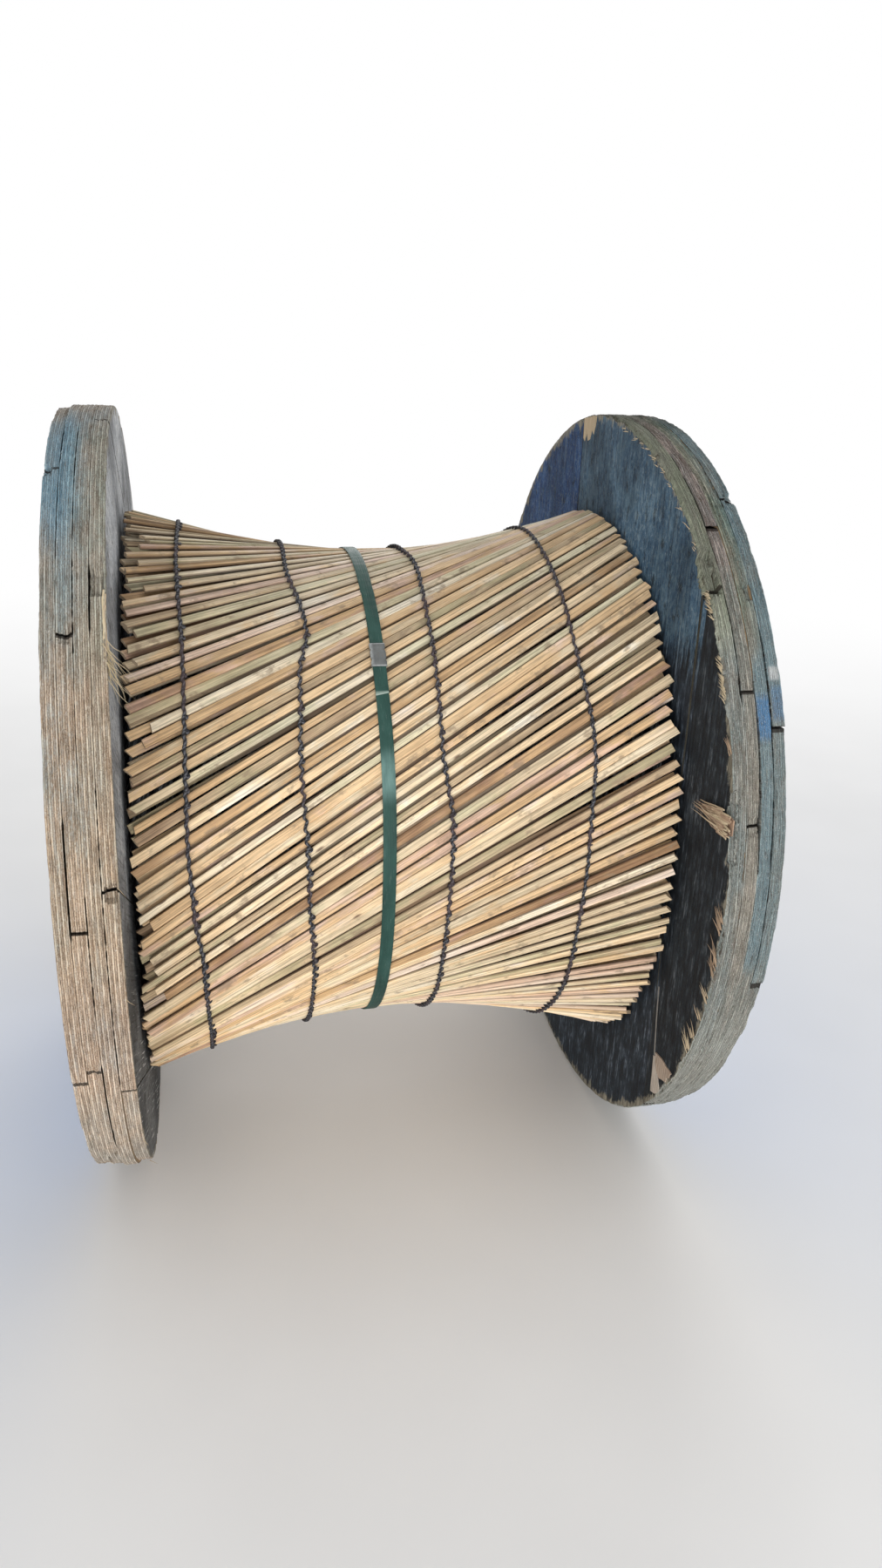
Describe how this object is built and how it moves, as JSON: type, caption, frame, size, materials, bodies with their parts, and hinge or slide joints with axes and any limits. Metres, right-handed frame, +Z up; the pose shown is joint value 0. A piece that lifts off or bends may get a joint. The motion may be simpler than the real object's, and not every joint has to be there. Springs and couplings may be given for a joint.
{
  "type": "wooden cable drum",
  "caption": "Wooden cable drum lying on its laminated plywood rims, its wound cable wrapped in a twisted mat of thin wooden laths tied with twine and one strap.",
  "frame": {"origin": "on the floor, below the middle of the drum's axis", "axes": "+X along the drum's axis towards the right flange, +Z up, the pictured side towards -Y"},
  "size_m": [0.811, 1, 1],
  "materials": {
    "plywood": "weathered, worn blue paint",
    "barrel_wood": "rough sawn",
    "steel": "dull, lightly rusted",
    "aluminium_conductor": "stranded, satin",
    "lath_wood": "raw, fine sawn",
    "twine": "twisted fibre",
    "strap_plastic": "satin",
    "seal_steel": "galvanised"
  },
  "bodies": {
    "root": {"left_flange_layer_1": "plywood", "left_flange_layer_2": "plywood", "left_flange_layer_3": "plywood", "left_flange_layer_4": "plywood", "right_flange_layer_1": "plywood", "right_flange_layer_2": "plywood", "right_flange_layer_3": "plywood", "right_flange_layer_4": "plywood", "barrel_staves": "barrel_wood", "tie_rods": "steel", "wound_conductor": "aluminium_conductor", "mat_outer_laths": "lath_wood", "mat_inner_laths": "lath_wood", "twine_row_1": "twine", "twine_row_2": "twine", "twine_row_3": "twine", "twine_row_4": "twine", "strap": "strap_plastic", "strap_seal": "seal_steel"}
  },
  "joints": []
}
